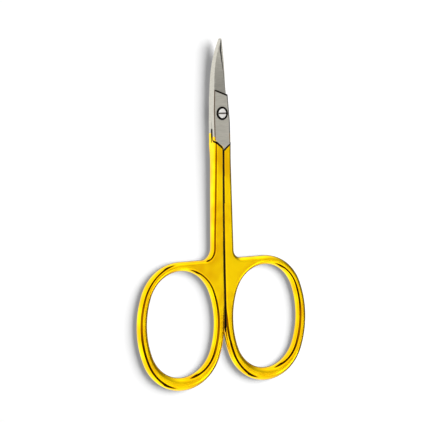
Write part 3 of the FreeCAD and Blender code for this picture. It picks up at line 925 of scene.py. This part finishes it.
# Paper gives the eye an even white. Under the gap, reflections meet a painted shadow that is nearly black.
white = add(tree, "ShaderNodeBsdfDiffuse", {"Color": linear("#F4F4F4")})
dark = add(tree, "ShaderNodeBsdfDiffuse", {"Color": linear("#050505")})
solid = add(tree, "ShaderNodeMixShader", {0: mirrored_ray, 1: white.outputs[0], 2: dark.outputs[0]})
through = add(tree, "ShaderNodeBsdfTransparent")
surface = add(tree, "ShaderNodeMixShader", {0: clear, 1: solid.outputs[0], 2: through.outputs[0]})
add(tree, "ShaderNodeOutputMaterial", {"Surface": surface.outputs[0]})
mesh.materials.append(paper)
print("floor", floor.name)

# %% [markdown]
# ## Light tent
# Polished metal is lit by what stands round it. So the world is a white tent, as a jeweller uses: it
# falls off to the right, where the room is dark, and has a slit that the camera looks through. Boards
# could stand round the scissors, but a world worked out from the direction needs no objects.

# %% Tent: white cloth
world = bpy.data.worlds.new("tent")
bpy.context.scene.world = world
world.use_nodes = True
tree = world.node_tree
tree.nodes.clear()
direction = add(tree, "ShaderNodeTexCoord").outputs["Generated"]
apart = add(tree, "ShaderNodeSeparateXYZ", {0: direction}).outputs
along_squared = maths(tree, "MULTIPLY", apart["Y"], apart["Y"])


def towards(aim):
    """How far the direction points the same way as an aim: the product of the two."""
    node = add(tree, "ShaderNodeVectorMath", {"operation": "DOT_PRODUCT", 0: direction, 1: aim})
    return node.outputs["Value"]


# The white falls off evenly towards the dark room on the right, but not towards the ends.
dark_room = (0.97, -0.10, -0.25)
room_side = maths(tree, "MULTIPLY_ADD", along_squared, -1.1, towards(dark_room))
white = ramp(tree, room_side, start=-0.20, end=0.70, low=1.5, high=0.17)
print("white cloth", len(tree.nodes), "nodes")

# %% Tent: slit and window
# The slit runs along the scissors at the camera's angle from upright, and its ends bend over the top.
slit_angle, slit_bend = 0.576, 1.05
leftward = maths(tree, "MULTIPLY", apart["X"], -1.0)
angle = maths(tree, "ARCTAN2", leftward, apart["Z"])
bent = maths(tree, "MULTIPLY_ADD", along_squared, slit_bend, angle)
off_slit = maths(tree, "ABSOLUTE", maths(tree, "SUBTRACT", bent, slit_angle))
slit = ramp(tree, off_slit, start=0.62, end=0.42, kind="SMOOTHSTEP")
# Inside, it is grey in the middle, where the camera and its stand are lit, and dark towards the ends.
inside = ramp(tree, along_squared, start=0.01, end=0.09, low=0.34, high=0.03)
cloth = blend(tree, slit, white, inside)
# One small bright window on the right gives the sparks on the loops.
window = (0.717, -0.359, 0.598)
spark = ramp(tree, towards(window), start=0.984, end=0.992, kind="SMOOTHSTEP")
tent = blend(tree, spark, cloth, 4.0)
print("slit and window", len(tree.nodes), "nodes")

# %% [markdown]
# ## Who sees the tent
# Only reflections see the tent. The camera sees a plain white ground, and the floor gets an even, weaker
# light, so that the tent can be set up for the metal alone.

# %% Who sees the tent
ray = add(tree, "ShaderNodeLightPath").outputs
# Light that the metal throws on to the floor comes from the plain world, so that the shadow stays grey.
first = maths(tree, "LESS_THAN", ray["Diffuse Depth"], 0.5)
shine = maths(tree, "MULTIPLY", ray["Is Glossy Ray"], first)
# Light that has bounced more than twice comes out of a crevice and is cut off, so that crevices go dark as if
# shaded.
bounced = maths(tree, "LESS_THAN", ray["Glossy Depth"], 2.5)
open_light = maths(tree, "MULTIPLY", tent, bounced)
soft = blend(tree, shine, 0.28, open_light)
seen = blend(tree, ray["Is Camera Ray"], soft, 1.0)
# The room behind the slit is warm, so the dark lines in the gold are brown.
warm = mixed(tree, maths(tree, "MULTIPLY", slit, shine), "#FFFFFF", "#FFC8A0")
shown = add(tree, "ShaderNodeBackground", {"Color": warm, "Strength": seen})
add(tree, "ShaderNodeOutputWorld", {"Surface": shown.outputs["Background"]})
print("tent with", len(tree.nodes), "nodes")

# %% [markdown]
# ## Lamp
# One large soft lamp at the upper right throws the shadow to the left. A sun would draw a hard shadow. In
# the gold the lamp would be a white square, so reflections don't see it.

# %% Lamp
data = bpy.data.lights.new("soft_lamp", "AREA")
data.energy = 13.0
data.size = 0.9
lamp = bpy.data.objects.new("soft_lamp", data)
lamp.visible_glossy = False
place = np.array([0.54, 0.14, 0.74])
away = unit(place)
stand(lamp, place, unit(np.cross([0, 1, 0], away)), away)

# %% [markdown]
# ## Finish
# The scene's colours are shown through the Standard view transform. The drawn pieces must
# stay inside the box of the CAD model.

# %% Finish
bpy.context.scene.view_settings.view_transform = "Standard"
